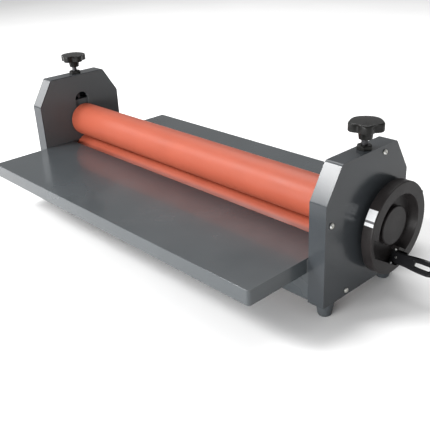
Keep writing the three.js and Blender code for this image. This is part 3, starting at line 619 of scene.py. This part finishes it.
def knob_profile(radius, height):
    """(radius, height, share of the flute's depth) from the hub's foot to near the middle."""
    body = KNOB_HUB_HEIGHT
    rim = height - KNOB_CROWN
    under = radius - KNOB_UNDER_EDGE
    edge = radius - KNOB_EDGE
    points = [
        (KNOB_HUB_RADIUS - KNOB_HUB_TAPER, 0.0, 0.0),
        (KNOB_HUB_RADIUS, body - KNOB_HUB_FLARE, 0.0),
        (KNOB_HUB_RADIUS + KNOB_HUB_FLARE, body, KNOB_HUB_FLUTE),
        (under, body, KNOB_UNDER_FLUTE),
    ]
    below = arc((under, body + KNOB_UNDER_EDGE), KNOB_UNDER_EDGE, -90, 0, KNOB_UNDER_STEPS)
    for across, up in below[1:]:
        points.append((across, up, 1.0))
    rounded = arc((edge, rim - KNOB_EDGE), KNOB_EDGE, 0, 90, KNOB_EDGE_STEPS)
    for i, (across, up) in enumerate(rounded):
        points.append((across, up, 1.0 - KNOB_FLUTE_FADE * i / KNOB_EDGE_STEPS))
    for i in range(1, KNOB_CROWN_STEPS):
        left = 1 - i / KNOB_CROWN_STEPS
        flute = (1 - KNOB_FLUTE_FADE) * left**2
        points.append((edge * left, rim + KNOB_CROWN * (1 - left**2), flute))
    return points


def knob_lobe(name, place):
    """(reach, angle) of the corner of the CAD knob that stands furthest from its axis."""
    knob = nodes[name]
    corners = (knob.matrix_world @ vert.co - place for vert in knob.data.vertices)
    return max((math.hypot(c.x, c.y), math.atan2(c.y, c.x)) for c in corners)


def star_knob(side):
    """The knob with its domed crown and with flutes that deepen down its rounded edge."""
    name = f"star_knob_{side}"
    low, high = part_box(name)
    place = Vector(((low.x + high.x) / 2, (low.y + high.y) / 2, low.z))
    reach, lobe_angle = knob_lobe(name, place)
    height = high.z - low.z

    def dip(angle):
        between = (1 - math.cos(KNOB_LOBES * (angle - lobe_angle))) / 2
        return KNOB_FLUTE * between**KNOB_FLUTE_SHARPNESS

    builder = bmesh.new()
    rings = [
        ring(builder, KNOB_STEPS, up, lambda angle: across - share * dip(angle))
        for across, up, share in knob_profile(reach, height)
    ]
    rings.append([builder.verts.new((0.0, 0.0, height))])
    for lower, upper in zip(rings, rings[1:]):
        join_rings(builder, lower, upper)
    builder.faces.new(rings[0])
    builder.transform(Matrix.Translation(place))
    mesh = finished_mesh(f"{side}_knob_detailed", builder)
    piece = new_piece(f"{side}_knob_detailed", mesh, "knob_plastic", f"{side}_knob")
    smooth(piece, ROUND_SMOOTH_ANGLE)
    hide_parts(name)


for knob_side in ("left", "right"):
    star_knob(knob_side)

# ---------------------------------------------------------------- hand wheel details

WHEEL_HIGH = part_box("hand_wheel")[1]
SHAFT_LOW, SHAFT_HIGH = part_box("wheel_shaft")
WHEEL_AXIS = (SHAFT_LOW + SHAFT_HIGH) / 2
WHEEL_FRONT = WHEEL_HIGH.x
WHEEL_THICK = 17 * MM
WHEEL_RADIUS = WHEEL_HIGH.z - WHEEL_AXIS.z
LABEL_FROM = 141.0  # degrees about the wheel's axis, from the rear
LABEL_TO = 161.0
LABEL_STEPS = 10
LABEL_MARGIN = 1.6 * MM
LABEL_THICK = 0.15 * MM
LABEL_GAP = 0.05 * MM  # clearance over the rim


def wheel_point(radius, angle, x):
    around = math.radians(angle)
    return (x, WHEEL_AXIS.y + radius * math.cos(around), WHEEL_AXIS.z + radius * math.sin(around))


def rim_label():
    """A blank label wrapped on the rim, with one thin stripe across it."""
    builder = bmesh.new()
    layer = builder.loops.layers.uv.new("UVMap")
    edges = (WHEEL_FRONT - WHEEL_THICK + LABEL_MARGIN, WHEEL_FRONT - LABEL_MARGIN)
    grid = {}
    share = {}
    for i in range(LABEL_STEPS + 1):
        angle = LABEL_FROM + (LABEL_TO - LABEL_FROM) * i / LABEL_STEPS
        for side, x in enumerate(edges):
            for level in (0, 1):
                radius = WHEEL_RADIUS + LABEL_GAP + level * LABEL_THICK
                vert = builder.verts.new(wheel_point(radius, angle, x))
                grid[i, side, level] = vert
                share[vert] = (side, 1 - i / LABEL_STEPS)

    def face(*places):
        builder.faces.new([grid[place] for place in places])

    for i in range(LABEL_STEPS):
        for level in (0, 1):
            face((i, 0, level), (i, 1, level), (i + 1, 1, level), (i + 1, 0, level))
        for side in (0, 1):
            face((i, side, 0), (i + 1, side, 0), (i + 1, side, 1), (i, side, 1))
    for i in (0, LABEL_STEPS):
        face((i, 0, 0), (i, 1, 0), (i, 1, 1), (i, 0, 1))
    for made in builder.faces:
        for loop in made.loops:
            loop[layer].uv = share[loop.vert]
    mesh = finished_mesh("rim_label", builder)
    mesh.materials.append(LABEL)
    piece = new_object("rim_label", mesh)
    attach(piece, "hand_wheel")
    smooth(piece, SMOOTH_ANGLE)


rim_label()

SET_SCREW_RADIUS = 1.7 * MM
SET_SCREW_RISE = 0.5 * MM
SET_SCREW_SINK = 0.8 * MM
SET_SCREW_SOCKET = 0.3 * MM
SET_SCREW_STEPS = 24
SET_SCREW_FROM_PIN = 6.5 * MM  # along the handle
SET_SCREW_OUT = 3.7 * MM  # from the handle's middle plane to its skin


def handle_set_screw():
    """The small screw that holds the hinge pin, let into the root of the handle."""
    low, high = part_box("handle_pin")
    along = Vector((0, high.y - low.y, high.z - low.z)).normalized()
    outwards = Vector((0, -along.z, along.y))
    place = (low + high) / 2 + Vector((SET_SCREW_FROM_PIN, 0, 0)) + outwards * SET_SCREW_OUT
    profile = [
        (0.0, -SET_SCREW_SINK),
        (SET_SCREW_RADIUS, -SET_SCREW_SINK),
        (SET_SCREW_RADIUS, SET_SCREW_RISE * 0.4),
        (SET_SCREW_RADIUS * 0.8, SET_SCREW_RISE),
        (SET_SCREW_RADIUS * 0.45, SET_SCREW_RISE),
        (SET_SCREW_RADIUS * 0.4, -SET_SCREW_SOCKET),
        (0.0, -SET_SCREW_SOCKET),
    ]
    turn = outwards.to_track_quat("Z", "X").to_matrix().to_4x4()
    to_world = Matrix.Translation(place) @ turn
    mesh = lathe_mesh("handle_set_screw", profile, SET_SCREW_STEPS, to_world)
    piece = new_piece("handle_set_screw", mesh, "zinc", "crank_handle")
    smooth(piece, SMOOTH_ANGLE)


handle_set_screw()

# ---------------------------------------------------------------- light and floor

FLOOR_HALF = 8.0
WORLD_STRENGTH = 0.36
# Each light's place and the point it faces in metres, its width and height, and its power in watts.
LIGHTS = {
    "key": ((-0.93, -1.35, 1.5), (0.2, -0.05, 0.15), (0.6, 0.6), 40.0),
    "left": ((-2.1, -0.8, 0.95), (-0.38, -0.08, 0.2), (0.8, 0.6), 11.0),
    "front": ((0.3, -2.2, 0.35), (0.15, -0.1, 0.1), (2.0, 0.6), 70.0),
    "top": ((-0.9, 0.9, 2.5), (-0.6, 0.3, 0.0), (2.4, 2.0), 70.0),
}


def add_floor():
    mesh = bpy.data.meshes.new("floor")
    corners = [(-1, -1), (1, -1), (1, 1), (-1, 1)]
    mesh.from_pydata([(x * FLOOR_HALF, y * FLOOR_HALF, 0.0) for x, y in corners], [], [(0, 1, 2, 3)])
    floor = new_object("floor", mesh)
    finish = Finish("pale_floor")
    cloud = finish.noise(3.0, 3.0)
    finish.colour(finish.blend(finish.ranged(cloud, 0.0, 1.0), (0.9, 0.9, 0.9), (0.93, 0.93, 0.93)))
    finish.set(Roughness=0.9)
    mesh.materials.append(finish.material)


def add_area(name, place, target, size, power):
    data = bpy.data.lights.new(name, "AREA")
    data.shape = "RECTANGLE"
    data.size, data.size_y = size
    data.energy = power
    light = new_object(name, data)
    light.location = place
    light.rotation_euler = (Vector(target) - Vector(place)).to_track_quat("-Z", "Y").to_euler()


def add_world(strength):
    world = bpy.data.worlds.new("studio")
    world.use_nodes = True
    background = world.node_tree.nodes["Background"]
    background.inputs["Color"].default_value = (1.0, 1.0, 1.0, 1.0)
    background.inputs["Strength"].default_value = strength
    bpy.context.scene.world = world


bpy.context.scene.view_settings.view_transform = "Standard"
add_floor()
add_world(WORLD_STRENGTH)
for light_name, settings in LIGHTS.items():
    add_area(light_name, *settings)
